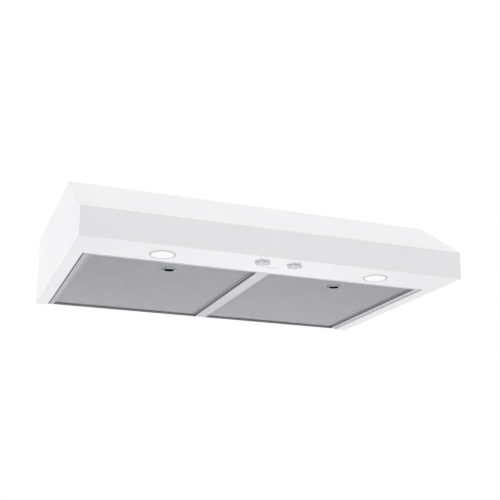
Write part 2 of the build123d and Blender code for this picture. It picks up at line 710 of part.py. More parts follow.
def make_wheel(side):
    """Forward-curved centrifugal wheel."""
    plate = (WHEEL_IN, WHEEL_IN + SHEET)
    wheel = along_x(plate, 0, 0, WHEEL_R)
    wheel += along_x((WHEEL_IN, WHEEL_IN + HUB_LENGTH), 0, 0, HUB_R)
    end_ring = along_x((WHEEL_OUT - END_RING, WHEEL_OUT), 0, 0, WHEEL_R)
    end_ring -= along_x(past(WHEEL_OUT - END_RING, WHEEL_OUT), 0, 0, BLADE_ROOT_R)
    wheel += end_ring
    root = (BLADE_ROOT_R - BLADE_SHEET / 2, 0)
    belly = (BLADE_ROOT_R + BLADE_BELLY[0], BLADE_BELLY[1])
    tip = (WHEEL_R - WHEEL_BORDER, BLADE_LEAN)
    front = ThreePointArc(root, belly, tip)
    back = Pos(0, BLADE_SHEET) * front
    section = make_face([front, Line(tip, back @ 1), back, Line(back @ 0, root)])
    blade = extrude_x(section, (WHEEL_IN + SHEET / 2, WHEEL_OUT - END_RING / 2))
    for step in range(BLADE_COUNT):
        wheel += Rot(step * 360 / BLADE_COUNT, 0, 0) * blade
    wheel -= along_x(past(WHEEL_IN, WHEEL_IN + HUB_LENGTH), 0, 0, MOTOR_SHAFT_R)
    wheel = Pos(0, AXIS_Y, AXIS_Z) * wheel
    return mirror_x(wheel, side)


def make_motor_shaft():
    """Shaft that carries both wheels."""
    reach = WHEEL_IN + HUB_LENGTH + SHAFT_END
    return along_x((-reach, reach), AXIS_Y, AXIS_Z, MOTOR_SHAFT_R)


def make_motor():
    """Stator can with end bells and bearing bosses."""
    motor = along_x((-MOTOR_HALF, MOTOR_HALF), AXIS_Y, AXIS_Z, MOTOR_R)
    motor = fillet(motor.edges().filter_by(GeomType.CIRCLE), MOTOR_ROUND)
    motor += along_x((-STACK_HALF, STACK_HALF), AXIS_Y, AXIS_Z, MOTOR_R + STACK_RIM)
    boss_end = MOTOR_HALF + BOSS_LENGTH
    motor += along_x((-boss_end, boss_end), AXIS_Y, AXIS_Z, BOSS_R)
    motor -= along_x(past(-boss_end, boss_end), AXIS_Y, AXIS_Z, MOTOR_SHAFT_R + RUNNING)
    return motor


def make_motor_bracket():
    """Strap that hangs the motor from the top by its bearing bosses."""
    outer = MOTOR_HALF + STRAP_GAP + STRAP_SHEET
    strap = block((-outer, outer), (AXIS_Y - STRAP_TOP_HALF, AXIS_Y + STRAP_TOP_HALF),
                  (INNER_TOP - STRAP_SHEET, INNER_TOP))
    for side in (-1, 1):
        x = sorted((side * (outer - STRAP_SHEET), side * outer))
        strap += block(x, (AXIS_Y - STRAP_HALF, AXIS_Y + STRAP_HALF), (AXIS_Z - STRAP_DROP, INNER_TOP))
    strap -= along_x(past(-outer, outer), AXIS_Y, AXIS_Z, BOSS_R)
    return strap


def make_capacitor():
    """Motor run capacitor, strapped beside the motor."""
    middle_z = INNER_TOP - CAPACITOR_R
    can = along_x((-CAPACITOR_HALF, CAPACITOR_HALF), CAPACITOR_Y, middle_z, CAPACITOR_R)
    can = fillet(can.edges().filter_by(GeomType.CIRCLE), CAPACITOR_ROUND)
    for y in (CAPACITOR_Y - TERMINAL_ROW, CAPACITOR_Y + TERMINAL_ROW):
        can += block((CAPACITOR_HALF, CAPACITOR_HALF + TERMINAL_LENGTH),
                     (y - TERMINAL_HALF_SHEET, y + TERMINAL_HALF_SHEET),
                     (middle_z - TERMINAL_HALF, middle_z + TERMINAL_HALF))
    return can


def make_connector():
    """Rectangular duct connector with a flange screwed to the top."""
    half_length = DUCT_LENGTH / 2 - DUCT_SLIP
    half_depth = DUCT_DEPTH / 2 - DUCT_SLIP
    flange_y = (DUCT_Y - half_depth - CONNECTOR_FLANGE, DUCT_Y + half_depth + CONNECTOR_FLANGE)
    flange_half = half_length + CONNECTOR_FLANGE
    tube = block((-flange_half, flange_half), flange_y, (HEIGHT, HEIGHT + SHEET))
    tube += block((-half_length, half_length), (DUCT_Y - half_depth, DUCT_Y + half_depth),
                  (HEIGHT, CONNECTOR_TOP))
    tube -= duct_opening(past(HEIGHT, CONNECTOR_TOP), DUCT_SLIP + CONNECTOR_WALL)
    stop_y = (DUCT_Y + half_depth - CONNECTOR_WALL - STOP_WIDTH, DUCT_Y + half_depth)
    stop_top = DAMPER_Z - STOP_GAP
    tube += block((-half_length, half_length), stop_y, (stop_top - STOP_SHEET, stop_top))
    tube -= along_x(past(-half_length, half_length), damper_axis_y(), damper_axis_z(), DAMPER_PIN_R)
    return tube


def damper_axis_y():
    """The damper's hinge line runs just inside the front wall of the connector."""
    return DUCT_Y - DUCT_DEPTH / 2 + DUCT_SLIP + CONNECTOR_WALL + DAMPER_PIN_INSET


def damper_axis_z():
    """Height of the damper's hinge line."""
    return DAMPER_Z + DAMPER_SHEET / 2


def make_damper_pin():
    """Hinge pin of the damper, riveted into both ends of the connector."""
    half = DUCT_LENGTH / 2 - DUCT_SLIP
    return along_x((-half, half), damper_axis_y(), damper_axis_z(), DAMPER_PIN_R)


def make_damper_flap():
    """Backdraught flap with three hinge barrels round the pin."""
    half = DUCT_LENGTH / 2 - DUCT_SLIP - CONNECTOR_WALL - FLAP_SIDE_GAP
    rear = DUCT_Y + DUCT_DEPTH / 2 - DUCT_SLIP - CONNECTOR_WALL - FLAP_REAR_GAP
    flap = block((-half, half), (damper_axis_y(), rear), (DAMPER_Z, DAMPER_Z + DAMPER_SHEET))
    for x in (-half + BARREL_INSET, 0, half - BARREL_INSET):
        barrel = (x - BARREL_HALF, x + BARREL_HALF)
        flap += along_x(barrel, damper_axis_y(), damper_axis_z(), DAMPER_PIN_R + BARREL_WALL)
    flap -= along_x(past(-half, half), damper_axis_y(), damper_axis_z(), DAMPER_PIN_R + RUNNING)
    return flap


def wiring_span():
    """Plan spans of the wiring box."""
    half = WIRING_SIZE / 2
    return (WIRING_X - half, WIRING_X + half), (WIRING_Y - half, WIRING_Y + half)


def make_wiring_box():
    """Field wiring box under the top's knockout, open towards the top and below."""
    x, y = wiring_span()
    box = block(x, y, (WIRING_BOTTOM, INNER_TOP))
    inner_x = (x[0] + BOX_SHEET, x[1] - BOX_SHEET)
    inner_y = (y[0] + BOX_SHEET, y[1] - BOX_SHEET)
    box -= block(inner_x, inner_y, past(WIRING_BOTTOM, INNER_TOP))
    return box


def make_wiring_cover():
    """Lid under the wiring box."""
    x, y = wiring_span()
    return block(x, y, (WIRING_BOTTOM - BOX_SHEET, WIRING_BOTTOM))


def make_terminal_block():
    """Three-way terminal block inside the wiring box."""
    x, _ = wiring_span()
    near = x[0] + BLOCK_INSET
    top = WIRING_BOTTOM + BLOCK_HEIGHT
    block_y = (WIRING_Y - BLOCK_HALF, WIRING_Y + BLOCK_HALF)
    terminal = block((near, near + BLOCK_WIDTH), block_y, (WIRING_BOTTOM, top))
    for step in (-1, 0, 1):
        well = (top - BLOCK_HOLE_DEPTH, top + OVERCUT)
        terminal -= upright(near + BLOCK_WIDTH / 2, WIRING_Y + BLOCK_PITCH * step, well, BLOCK_HOLE_R)
    return terminal


def make_led_driver():
    """Lamp power supply, screwed behind the control panel."""
    driver = block(DRIVER_X, DRIVER_Y, (SHEET, DRIVER_TOP))
    driver = fillet(driver.edges().filter_by(Axis.Z), DRIVER_ROUND)
    middle_y = (DRIVER_Y[0] + DRIVER_Y[1]) / 2
    driver += block((DRIVER_X[0] - DRIVER_FOOT, DRIVER_X[1] + DRIVER_FOOT),
                    (middle_y - DRIVER_FOOT_HALF, middle_y + DRIVER_FOOT_HALF),
                    (SHEET, SHEET + DRIVER_FOOT_SHEET))
    return driver


def make_screw(length):
    """Pan-head sheet-metal screw with a cross recess: head above z = 0, shank below."""
    screw = upright(0, 0, (0, SMALL_HEAD), SMALL_HEAD_R)
    rim = screw.edges().group_by(Axis.Z)[-1]
    screw = fillet(rim, SMALL_HEAD_ROUND)
    screw += upright(0, 0, (-length, 0), SMALL_SCREW_R)
    slot = block((-RECESS_HALF, RECESS_HALF), (-RECESS_HALF_SLOT, RECESS_HALF_SLOT),
                 (SMALL_HEAD - RECESS_DEPTH, SMALL_HEAD + OVERCUT))
    screw -= slot
    screw -= Rot(0, 0, 90) * slot
    return screw


def make_connector_screws():
    """Six screws that hold the duct connector's flange."""
    half_depth = DUCT_DEPTH / 2 - DUCT_SLIP + CONNECTOR_FLANGE / 2
    screws = []
    for x in (-CONNECTOR_SCREW_PITCH, 0, CONNECTOR_SCREW_PITCH):
        for y in (-half_depth, half_depth):
            screws.append(Pos(x, DUCT_Y + y, HEIGHT + SHEET) * make_screw(2 * SHEET + SMALL_TIP))
    return screws


def make_cover_screws():
    """Four screws that hold the rear duct cover, driven from inside."""
    low, high = rear_duct_span()
    screws = []
    for x in (-COVER_SCREW_X, COVER_SCREW_X):
        for z in (low - COVER_BORDER / 2, high + COVER_BORDER / 2):
            screw = Rot(90, 0, 0) * make_screw(2 * SHEET)
            screws.append(Pos(x, INNER_BACK - SHEET, z) * screw)
    return screws


def make_tray_rivets():
    """Rivets that join the side rails' flanges to the rim's flange."""
    rivets = []
    inner = OPENING_HALF - SIDE_GAP - TRAY_SHEET
    outer = OPENING_HALF + SHEET
    for side in (-1, 1):
        for y in RIVET_PLACES:
            rivet = along_x((inner - RIVET_HEAD, outer + RIVET_HEAD), y, RIVET_Z, RIVET_R)
            rivet += along_x((inner - RIVET_HEAD, inner), y, RIVET_Z, RIVET_HEAD_R)
            rivet += along_x((OPENING_HALF - SIDE_GAP, OPENING_HALF), y, RIVET_Z, RIVET_HEAD_R)
            rivets.append(mirror_x(rivet, side))
    return rivets


def place(shape):
    """Model coordinates to the row frame."""
    return Pos(0, -PATTERN_Y, -HEIGHT) * shape


def make_parts():
    """Every node by name."""
    parts = {
        "hood_shell": make_hood_shell(),
        "back_panel": make_back_panel(),
        "rear_duct_cover": make_rear_duct_cover(),
        "bottom_pan": make_bottom_pan(),
        "filter_rail_front": make_front_rail(),
        "filter_divider": make_divider(),
        "filter_rear_ledge": make_rear_ledge(),
        "switch_nuts": make_switch_nuts(),
        "motor_shaft": make_motor_shaft(),
        "motor": make_motor(),
        "motor_bracket": make_motor_bracket(),
        "motor_capacitor": make_capacitor(),
        "duct_connector": make_connector(),
        "damper_pin": make_damper_pin(),
        "damper_flap": make_damper_flap(),
        "wiring_box": make_wiring_box(),
        "wiring_box_cover": make_wiring_cover(),
        "terminal_block": make_terminal_block(),
        "led_driver": make_led_driver(),
        "connector_screws": Compound(make_connector_screws()),
        "rear_cover_screws": Compound(make_cover_screws()),
        "tray_rivets": Compound(make_tray_rivets()),
        "lamp_boards": Compound([make_lamp_board(-1), make_lamp_board(1)]),
        "lamp_clips": Compound([*make_lamp_clips(-1), *make_lamp_clips(1)]),
    }
    makers = {
        "side_panel": make_side_panel,
        "filter_rail": make_side_rail,
        "filter_frame": make_filter_frame,
        "filter_mesh": make_filter_pad,
        "filter_tabs": make_rear_tabs,
        "latch_cover": make_latch_cover,
        "latch_collar": make_latch_collar,
        "latch_tongue": make_latch_tongue,
        "latch_springs": make_latch_springs,
        "lamp_bezel": make_lamp_bezel,
        "lamp_lens": make_lamp_lens,
        "lamp_heat_sink": make_lamp_heat_sink,
        "blower_scroll": make_scroll,
        "inlet_ring": make_inlet_ring,
        "blower_wheel": make_wheel,
    }
    for name, maker in makers.items():
        for word, side in (("left", -1), ("right", 1)):
            parts[f"{name}_{word}"] = maker(side)
    for word, side in (("fan", -1), ("light", 1)):
        parts[f"{word}_knob"] = make_knob(side)
        parts[f"{word}_shaft"] = make_knob_shaft(side)
        parts[f"{word}_switch"] = make_switch(side)
    for rivet in make_tray_rivets():
        for name in ("bottom_pan", "filter_rail_left", "filter_rail_right"):
            parts[name] -= rivet
    for screw in make_connector_screws():
        for name in ("hood_shell", "duct_connector"):
            parts[name] -= screw
    for screw in make_cover_screws():
        for name in ("back_panel", "rear_duct_cover"):
            parts[name] -= screw
    return parts


os.makedirs("parts", exist_ok=True)
for node, shape in make_parts().items():
    export_step(place(shape), f"parts/{node}.step")
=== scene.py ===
import json
import math

import bpy
import numpy as np
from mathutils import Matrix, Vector


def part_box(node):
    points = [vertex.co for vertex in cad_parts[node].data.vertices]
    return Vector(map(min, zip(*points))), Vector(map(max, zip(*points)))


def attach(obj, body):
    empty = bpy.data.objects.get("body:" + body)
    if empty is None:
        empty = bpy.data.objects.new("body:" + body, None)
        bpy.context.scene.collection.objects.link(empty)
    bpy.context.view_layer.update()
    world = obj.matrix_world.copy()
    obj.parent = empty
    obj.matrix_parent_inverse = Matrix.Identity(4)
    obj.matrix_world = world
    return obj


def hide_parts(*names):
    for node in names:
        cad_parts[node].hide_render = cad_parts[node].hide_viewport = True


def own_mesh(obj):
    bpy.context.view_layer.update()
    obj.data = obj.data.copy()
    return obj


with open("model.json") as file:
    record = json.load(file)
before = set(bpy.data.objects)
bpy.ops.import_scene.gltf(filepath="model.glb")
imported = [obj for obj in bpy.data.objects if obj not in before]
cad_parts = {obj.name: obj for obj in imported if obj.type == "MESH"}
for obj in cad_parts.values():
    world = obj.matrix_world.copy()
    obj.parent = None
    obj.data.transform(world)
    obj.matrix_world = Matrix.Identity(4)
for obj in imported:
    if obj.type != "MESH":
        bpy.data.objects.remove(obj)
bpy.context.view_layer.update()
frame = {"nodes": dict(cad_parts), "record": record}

# Under cabinet range hood in the row frame, in metres: x along the fascia, y towards the
# wall, z up. The origin is in the middle of the four cabinet screw holes on the top.

MM = 0.001
NOISE_LOW = 0.3
NOISE_HIGH = 0.7
BEVEL_SAMPLES = 4


# --------------------------------------------------------------------------- materials

class Shader:
    """A node material on one Principled shader, with the few node chains that the finishes share."""

    def __init__(self, name):
        self.material = bpy.data.materials.new(name)
        self.material.use_nodes = True
        self.tree = self.material.node_tree
        self.tree.nodes.clear()
        output = self.tree.nodes.new("ShaderNodeOutputMaterial")
        self.bsdf = self.tree.nodes.new("ShaderNodeBsdfPrincipled")
        self.tree.links.new(self.bsdf.outputs[0], output.inputs["Surface"])
        self.place = self.tree.nodes.new("ShaderNodeTexCoord").outputs["Object"]

    def node(self, kind, inputs=None, **settings):
        """A node with its settings and its inputs by name or index: sockets are linked, values set."""
        node = self.tree.nodes.new(kind)
        for key, value in settings.items():
            setattr(node, key, value)
        for key, value in (inputs or {}).items():
            if isinstance(value, bpy.types.NodeSocket):
                self.tree.links.new(value, node.inputs[key])
            else:
                node.inputs[key].default_value = value
        return node

    def link(self, socket, name):
        self.tree.links.new(socket, self.bsdf.inputs[name])

    def fixed(self, **values):
        """Sockets of the shader that are the same all over the surface."""
        for key, value in values.items():
            self.bsdf.inputs[key.replace("_", " ")].default_value = value

    def stretched(self, scale):
        """Object coordinates, scaled per axis."""
        mapping = self.node("ShaderNodeMapping", {"Vector": self.place, "Scale": scale})
        return mapping.outputs[0]

    def noise(self, scale, detail=3.0, stretch=None):
        where = self.stretched(stretch) if stretch else self.place
        inputs = {"Vector": where, "Scale": scale, "Detail": detail}
        return self.node("ShaderNodeTexNoise", inputs).outputs["Fac"]

    def cells(self, scale, feature="F1", output="Distance", stretch=None):
        where = self.stretched(stretch) if stretch else self.place
        inputs = {"Vector": where, "Scale": scale}
        return self.node("ShaderNodeTexVoronoi", inputs, feature=feature).outputs[output]

    def span(self, value, low, high, to_low=0.0, to_high=1.0):
        """The value's span from low to high, stretched to another one."""
        inputs = {"Value": value, "From Min": low, "From Max": high, "To Min": to_low, "To Max": to_high}
        return self.node("ShaderNodeMapRange", inputs).outputs[0]

    def mottle(self, noise, low=0.0, high=1.0):
        """A noise value, from the span that it mostly keeps to, stretched to low and high."""
        return self.span(noise, NOISE_LOW, NOISE_HIGH, low, high)

    def math(self, operation, *values):
        return self.node("ShaderNodeMath", dict(enumerate(values)), operation=operation).outputs[0]

    def blend(self, factor, a, b):
        """Colour a where the factor is 0, colour b where it is 1."""
        mix = self.node("ShaderNodeMix", {"Factor": factor}, data_type="RGBA")
        for socket, value in ((mix.inputs[6], a), (mix.inputs[7], b)):
            if isinstance(value, bpy.types.NodeSocket):
                self.tree.links.new(value, socket)
            else:
                socket.default_value = (*value, 1.0)
        return mix.outputs[2]

    def bevel(self, radius):
        return self.node("ShaderNodeBevel", {"Radius": radius}, samples=BEVEL_SAMPLES).outputs[0]

    def edges(self, radius, gain):
        """Up to 1 along edges within the radius, 0 on flat surfaces."""
        normal = self.node("ShaderNodeNewGeometry").outputs["Normal"]
        dot = self.node("ShaderNodeVectorMath", {0: self.bevel(radius), 1: normal}, operation="DOT_PRODUCT")
        share = self.math("MULTIPLY", self.math("SUBTRACT", 1.0, dot.outputs["Value"]), gain)
        return self.math("MINIMUM", share, 1.0)

    def axis(self, index):
        """One object coordinate, in metres."""
        return self.node("ShaderNodeSeparateXYZ", {0: self.place}).outputs[index]

    def relief(self, height, depth, strength, rounding=0.0):
        """Bump of the given depth, on softly rounded edges where rounding is a radius."""
        inputs = {"Height": height, "Distance": depth, "Strength": strength}
        if rounding:
            inputs["Normal"] = self.bevel(rounding)
        return self.node("ShaderNodeBump", inputs).outputs[0]


def white_enamel():
    """Baked enamel with a slight orange peel, thinner on its edges."""
    s = Shader("white_enamel")
    drift = s.noise(9.0, 2.0)
    peel = s.noise(650.0, 2.0)
    specks = s.span(s.noise(1500.0, 1.0), 0.66, 0.74)
    tone = s.blend(s.mottle(drift), (0.885, 0.888, 0.893), (0.912, 0.913, 0.915))
    tone = s.blend(s.math("MULTIPLY", specks, 0.10), tone, (0.70, 0.70, 0.69))
    patches = s.span(s.noise(60.0), 0.35, 0.75, 0.0, 0.30)
    worn = s.math("MULTIPLY", s.edges(0.7 * MM, 3.0), patches)
    s.link(s.blend(worn, tone, (0.74, 0.745, 0.75)), "Base Color")
    s.link(s.mottle(s.noise(35.0, 4.0), 0.34, 0.46), "Roughness")
    s.link(s.relief(peel, 0.05 * MM, 0.35, rounding=0.6 * MM), "Normal")
    s.fixed(IOR=1.48)
    return s.material


# Painted shade on the back's inner face along its lower edge, where the recess above the rim lies in shade.
BACK_SHADE = (0.22, 0.22, 0.23)
BACK_SHADE_HEIGHT = 24.0 * MM
BACK_SHADE_SKIN = 0.2 * MM
BACK_SHADE_MOST = 0.80


def galvanised():
    """Spangled zinc, with painted shade on the back's inner face along its lower edge."""
    s = Shader("galvanised")
    spangle = s.cells(110.0, output="Color")
    grey = s.node("ShaderNodeSeparateColor", {0: spangle}).outputs[0]
    tone = s.blend(grey, (0.50, 0.52, 0.54), (0.68, 0.70, 0.72))
    dull = s.span(s.noise(18.0, 5.0), 0.45, 0.75)
    tone = s.blend(s.math("MULTIPLY", dull, 0.5), tone, (0.56, 0.57, 0.58))
    rim_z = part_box("bottom_pan")[0].z
    wall_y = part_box("back_panel")[0].y
    # Painted shade: the back's inner face is darkened near the bottom.
    low_down = s.span(s.axis(2), rim_z, rim_z + BACK_SHADE_HEIGHT, 1.0, 0.0)
    inside = s.span(s.axis(1), wall_y, wall_y + BACK_SHADE_SKIN, 1.0, 0.0)
    wall_shade = s.math("MULTIPLY", s.math("MULTIPLY", low_down, inside), BACK_SHADE_MOST)
    s.link(s.blend(wall_shade, tone, BACK_SHADE), "Base Color")
    s.link(s.span(grey, 0.0, 1.0, 0.38, 0.56), "Roughness")
    s.link(s.relief(s.noise(420.0, 3.0), 0.05 * MM, 0.25, rounding=0.4 * MM), "Normal")
    s.fixed(Metallic=1.0)
    return s.material


LEFT_SHADE_X = (-0.34, 0.0)


def tray_paint():
    """Grey paint, with painted shade that darkens it towards the left rail."""
    s = Shader("tray_paint")
    # Painted shade: the grey is darkened from the middle towards the left rail, where less light falls.
    drift = s.span(s.axis(0), *LEFT_SHADE_X, 0.0, 0.9)
    level = s.math("ADD", drift, s.mottle(s.noise(14.0, 3.0), 0.0, 0.1))
    tone = s.blend(level, (0.475, 0.48, 0.50), (0.63, 0.635, 0.655))
    patches = s.span(s.noise(80.0), 0.35, 0.7, 0.1, 0.5)
    worn = s.math("MULTIPLY", s.edges(0.6 * MM, 3.0), patches)
    s.link(s.blend(worn, tone, (0.40, 0.41, 0.43)), "Base Color")
    s.link(s.mottle(s.noise(45.0, 4.0), 0.40, 0.54), "Roughness")
    s.link(s.relief(s.noise(700.0, 2.0), 0.05 * MM, 0.4, rounding=0.4 * MM), "Normal")
    return s.material


SCUFF_RADIUS = 0.4 * MM
SCUFF_SHARE = 0.6
SCUFF_BRIGHTER = 1.3


def brushed(name, dark, light, scale, stretch, rough, metallic=1.0, cover=None):
    """Sheet metal with a fine directional grain, with a cover over its colour where one is given, such as
    the filters' painted edge shade.
    """
    s = Shader(name)
    grain = s.noise(scale, 4.0, stretch)
    tone = s.blend(s.mottle(grain), dark, light)
    scuffed = s.math("MULTIPLY", s.edges(SCUFF_RADIUS, 4.0), SCUFF_SHARE)
    tone = s.blend(scuffed, tone, [min(1.0, c * SCUFF_BRIGHTER) for c in light])
    s.link(cover(s, tone) if cover else tone, "Base Color")
    cloud = s.mottle(s.noise(22.0, 3.0), rough - 0.06, rough + 0.06)
    s.link(s.math("ADD", cloud, s.mottle(grain, -0.04, 0.04)), "Roughness")
    s.link(s.relief(grain, 0.03 * MM, 0.5, rounding=0.25 * MM), "Normal")
    s.fixed(Metallic=metallic)
    return s.material


# Painted shade along each filter's right and rear edges, standing in for the shade of the rails and the
# back.
EDGE_SHADE = (0.16, 0.16, 0.17)
EDGE_SHADE_SIDE = 15.0 * MM
EDGE_SHADE_SIDE_FALL = 1.8
EDGE_SHADE_REAR = 4.0 * MM
EDGE_SHADE_REAR_FALL = 1.4
EDGE_SHADE_MOST = 0.62


def edge_shaded(s, tone):
    """The tone under painted shade that deepens towards each filter's right and rear edges, where the rails
    and the back shade the mesh.
    """
    left_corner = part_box("filter_frame_left")[1]
    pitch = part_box("filter_frame_right")[1].x - left_corner.x
    from_side = s.math("FLOORED_MODULO", s.math("SUBTRACT", left_corner.x, s.axis(0)), pitch)
    from_rear = s.math("SUBTRACT", left_corner.y, s.axis(1))
    side = s.math("POWER", s.span(from_side, 0.0, EDGE_SHADE_SIDE, 1.0, 0.0), EDGE_SHADE_SIDE_FALL)
    rear = s.math("POWER", s.span(from_rear, 0.0, EDGE_SHADE_REAR, 1.0, 0.0), EDGE_SHADE_REAR_FALL)
    shade_share = s.math("MULTIPLY", s.math("MAXIMUM", side, rear), EDGE_SHADE_MOST)
    return s.blend(shade_share, tone, EDGE_SHADE)


def filter_edge():
    return brushed("filter_edge", (0.40, 0.405, 0.415), (0.50, 0.505, 0.515), 900.0, (1.0, 0.12, 1.0),
                   0.50, 0.85, cover=edge_shaded)


FILTER_Y = (-0.2, 0.18)


def rear_share(s):
    """0 at the filters' front edge, 1 at their rear edge."""
    return s.span(s.axis(1), *FILTER_Y)


def filter_mesh():
    """Aluminium foil mesh seen in depth: fine crossed strands over a dark ground."""
    s = Shader("filter_mesh")
    across = s.cells(520.0, "DISTANCE_TO_EDGE", stretch=(0.55, 1.0, 1.0))
    strand = s.span(across, 0.05, 0.22, 1.0, 0.0)
    cloud = s.noise(30.0, 4.0)
    metal = s.blend(s.mottle(cloud), (0.80, 0.803, 0.815), (0.88, 0.883, 0.895))
    # Painted light: the mesh's colour is lightened towards the filters' rear edge.
    rear_light = s.math("MULTIPLY", rear_share(s), 0.42)
    tone = s.blend(rear_light, s.blend(strand, (0.62, 0.622, 0.635), metal), (0.97, 0.972, 0.985))
    s.link(edge_shaded(s, tone), "Base Color")
    s.link(s.mottle(s.noise(240.0), 0.45, 0.62), "Roughness")
    s.link(s.relief(strand, 0.3 * MM, 0.8), "Normal")
    s.fixed(Metallic=0.8)
    return s.material


def mesh_strand():
    """Aluminium strand of the outer mesh layer, with painted light that brightens it towards the rear."""
    s = Shader("mesh_strand")
    cloud = s.noise(26.0, 4.0)
    fine = s.noise(420.0, 2.0)
    crimp = s.span(s.noise(270.0, 3.0), 0.44, 0.60)
    # Painted light: the strands are lightened towards the rear.
    level = s.math("ADD", s.math("MULTIPLY", rear_share(s), 0.8), s.mottle(cloud, 0.0, 0.2))
    tone = s.blend(level, (0.86, 0.863, 0.878), (0.985, 0.986, 0.995))
    tone = s.blend(s.math("MULTIPLY", crimp, 0.38), tone, (0.60, 0.602, 0.615))
    tone = s.blend(s.span(fine, 0.55, 0.75, 0.0, 0.5), tone, (0.62, 0.623, 0.635))
    s.link(edge_shaded(s, tone), "Base Color")
    s.link(s.mottle(fine, 0.40, 0.58), "Roughness")
    s.link(s.relief(fine, 0.03 * MM, 0.4), "Normal")
    s.fixed(Metallic=0.75)
    return s.material


COLLAR_BORE = 10.35 * MM
BORE_EDGE = 0.05 * MM


def chrome():
    """Plated collar, with painted shade inside its bore."""
    s = Shader("latch_chrome")
    smudge = s.noise(160.0, 3.0)
    tone = s.blend(s.span(smudge, 0.4, 0.7), (0.66, 0.67, 0.69), (0.56, 0.57, 0.59))
    low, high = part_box("latch_collar_right")
    radius = (high.x - low.x) / 2
    across = s.math("SUBTRACT", s.math("ABSOLUTE", s.axis(0)), (low.x + high.x) / 2)
    along = s.math("SUBTRACT", s.axis(1), high.y - radius)
    squares = [s.math("MULTIPLY", offset, offset) for offset in (across, along)]
    reach = s.math("SQRT", s.math("ADD", *squares))
    # Painted shade: the deep bore is darkened to near black.
    bore_shade = s.span(reach, COLLAR_BORE - BORE_EDGE, COLLAR_BORE + BORE_EDGE, 1.0, 0.0)
    s.link(s.blend(bore_shade, tone, (0.17, 0.19, 0.24)), "Base Color")
    s.link(s.mottle(smudge, 0.16, 0.30), "Roughness")
    s.link(s.relief(s.noise(900.0, 2.0), 0.02 * MM, 0.3, rounding=0.2 * MM), "Normal")
    s.fixed(Metallic=1.0)
    return s.material


def bezel():
    """Satin plating of the lamps' trim rings."""
    s = Shader("lamp_bezel")
    satin = s.noise(700.0, 3.0)
    s.link(s.blend(s.mottle(satin), (0.53, 0.535, 0.55), (0.60, 0.605, 0.62)), "Base Color")
    s.link(s.mottle(satin, 0.34, 0.46), "Roughness")
    s.link(s.relief(satin, 0.02 * MM, 0.3, rounding=0.2 * MM), "Normal")
    s.fixed(Metallic=0.3)
    return s.material


def diffuser():
    """Frosted lens: fine prism dimples, lit evenly from behind."""
    s = Shader("lamp_diffuser")
    dimples = s.cells(620.0)
    cloud = s.noise(70.0, 2.0)
    s.link(s.blend(s.span(dimples, 0.0, 0.6), (0.95, 0.95, 0.94), (0.90, 0.90, 0.89)), "Base Color")
    s.link(s.mottle(cloud, 0.30, 0.42), "Roughness")
    s.link(s.relief(dimples, 0.15 * MM, 0.6), "Normal")
    s.link(s.blend(s.span(dimples, 0.0, 0.6), (1.0, 1.0, 0.99), (0.96, 0.96, 0.95)), "Emission Color")
    s.fixed(Emission_Strength=0.10)
    return s.material


def circuit_board():
    """Pale solder mask with fine copper tracks."""
    s = Shader("circuit_board")
    tracks = s.cells(420.0, "DISTANCE_TO_EDGE", stretch=(1.0, 1.0, 0.1))
    copper = s.span(tracks, 0.03, 0.06, 1.0, 0.0)
    s.link(s.blend(copper, (0.86, 0.86, 0.83), (0.62, 0.60, 0.50)), "Base Color")
    s.link(s.mottle(s.noise(300.0), 0.35, 0.5), "Roughness")
    s.link(s.relief(copper, 0.04 * MM, 0.6), "Normal")
    return s.material


def cast_aluminium():
    """Dull castings with a gritty skin."""
    s = Shader("cast_aluminium")
    grit = s.noise(900.0, 4.0)
    s.link(s.blend(s.mottle(grit), (0.46, 0.47, 0.48), (0.60, 0.61, 0.62)), "Base Color")
    s.link(s.mottle(grit, 0.5, 0.68), "Roughness")
    s.link(s.relief(grit, 0.08 * MM, 0.6, rounding=0.3 * MM), "Normal")
    s.fixed(Metallic=0.9)
    return s.material


def knob_plastic():
    """Grey moulded plastic with spark-eroded texture; its edges are glossier where fingers polish them and
    lightened by a painted highlight.
    """
    s = Shader("knob_plastic")
    spark = s.noise(1500.0, 3.0)
    tone = s.blend(s.mottle(s.noise(120.0)), (0.625, 0.632, 0.65), (0.665, 0.672, 0.69))
    polish_and_highlight = s.edges(1.0 * MM, 3.0)
    # Painted highlight: the edges are lightened in the colour; the lower roughness there is finger polish.
    s.link(s.blend(s.math("MULTIPLY", polish_and_highlight, 0.5), tone, (0.70, 0.707, 0.725)), "Base Color")
    gloss = s.math("MULTIPLY", polish_and_highlight, 0.15)
    s.link(s.math("SUBTRACT", s.mottle(spark, 0.42, 0.56), gloss), "Roughness")
    s.link(s.relief(spark, 0.05 * MM, 0.5, rounding=0.4 * MM), "Normal")
    return s.material


def mark_ink():
    """Grey print, a little rubbed."""
    s = Shader("mark_ink")
    rubbed = s.span(s.noise(900.0, 2.0), 0.4, 0.7)
    s.link(s.blend(rubbed, (0.30, 0.305, 0.32), (0.42, 0.423, 0.43)), "Base Color")
    s.link(s.span(rubbed, 0.0, 1.0, 0.40, 0.50), "Roughness")
    s.link(s.relief(rubbed, 0.01 * MM, 0.3), "Normal")
    return s.material


def seal_rubber():
    """Grey silicone with a talc bloom."""
    s = Shader("seal_rubber")
    bloom = s.span(s.noise(140.0, 4.0), 0.4, 0.7)
    s.link(s.blend(bloom, (0.50, 0.505, 0.52), (0.60, 0.605, 0.62)), "Base Color")
    s.link(s.span(bloom, 0.0, 1.0, 0.55, 0.70), "Roughness")
    s.link(s.relief(s.noise(900.0, 2.0), 0.05 * MM, 0.4), "Normal")
    return s.material


def bright_steel():
    return brushed("bright_steel", (0.56, 0.57, 0.58), (0.70, 0.71, 0.72), 1400.0, (0.2, 1.0, 1.0), 0.28)


def spring_steel():
    return brushed("spring_steel", (0.42, 0.43, 0.45), (0.58, 0.59, 0.61), 1800.0, (1.0, 0.2, 1.0), 0.30)


